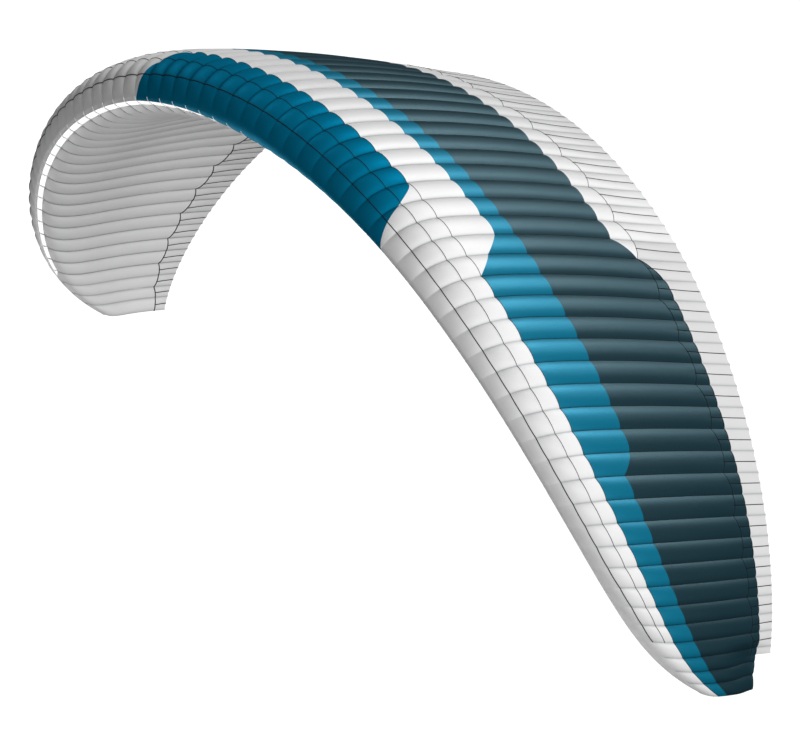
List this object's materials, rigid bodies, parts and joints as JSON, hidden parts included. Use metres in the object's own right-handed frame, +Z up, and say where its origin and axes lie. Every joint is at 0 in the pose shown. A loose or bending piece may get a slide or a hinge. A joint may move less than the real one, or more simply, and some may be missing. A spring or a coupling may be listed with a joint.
{
  "type": "paraglider wing",
  "caption": "Arched ram-air canopy of sewn cells with open mouths under the nose, load ribs inside and colour-blocked panels, shown inflated without lines.",
  "frame": {"origin": "on the lower skin at thirty per cent of the middle chord, where the lines' pull would act", "axes": "+X along the span towards the tip without a trailing strip, +Y from the leading edge to the trailing edge, +Z up, away from the lines"},
  "size_m": [7.1944, 3.1087, 3.3659],
  "materials": {
    "white_cloth": "coated ripstop, white",
    "teal_cloth": "coated ripstop, deep teal",
    "blue_cloth": "coated ripstop, blue",
    "slate_cloth": "coated ripstop, dark slate",
    "lower_cloth": "coated ripstop, light grey",
    "rib_cloth": "stiff uncoated ripstop, white"
  },
  "bodies": {
    "root": {"nose_patch_middle": "teal_cloth", "nose_near": "white_cloth", "nose_far": "white_cloth", "band_middle": "white_cloth", "stripe_near": "blue_cloth", "stripe_middle": "blue_cloth", "stripe_far": "blue_cloth", "slate_near": "slate_cloth", "slate_middle": "slate_cloth", "slate_far": "slate_cloth", "aft_band_middle": "white_cloth", "strip_near": "white_cloth", "strip_middle": "white_cloth", "strip_far": "white_cloth", "lower_near": "lower_cloth", "lower_middle": "lower_cloth", "lower_far": "lower_cloth", "lower_strip_near": "lower_cloth", "lower_strip_middle": "lower_cloth", "lower_strip_far": "lower_cloth", "tip_near": "white_cloth", "tip_far": "white_cloth", "rib_02": "rib_cloth", "rib_04": "rib_cloth", "rib_06": "rib_cloth", "rib_08": "rib_cloth", "rib_10": "rib_cloth", "rib_12": "rib_cloth", "rib_14": "rib_cloth", "rib_16": "rib_cloth", "rib_18": "rib_cloth", "rib_20": "rib_cloth", "rib_22": "rib_cloth", "rib_24": "rib_cloth", "rib_26": "rib_cloth", "rib_28": "rib_cloth", "rib_30": "rib_cloth", "rib_32": "rib_cloth", "rib_34": "rib_cloth", "rib_36": "rib_cloth", "rib_38": "rib_cloth", "rib_40": "rib_cloth", "rib_42": "rib_cloth", "rib_44": "rib_cloth", "rib_46": "rib_cloth", "rib_48": "rib_cloth", "rib_50": "rib_cloth", "rib_52": "rib_cloth", "rib_54": "rib_cloth", "rib_56": "rib_cloth", "rib_58": "rib_cloth", "rib_60": "rib_cloth", "rib_62": "rib_cloth", "rib_64": "rib_cloth"}
  },
  "joints": []
}
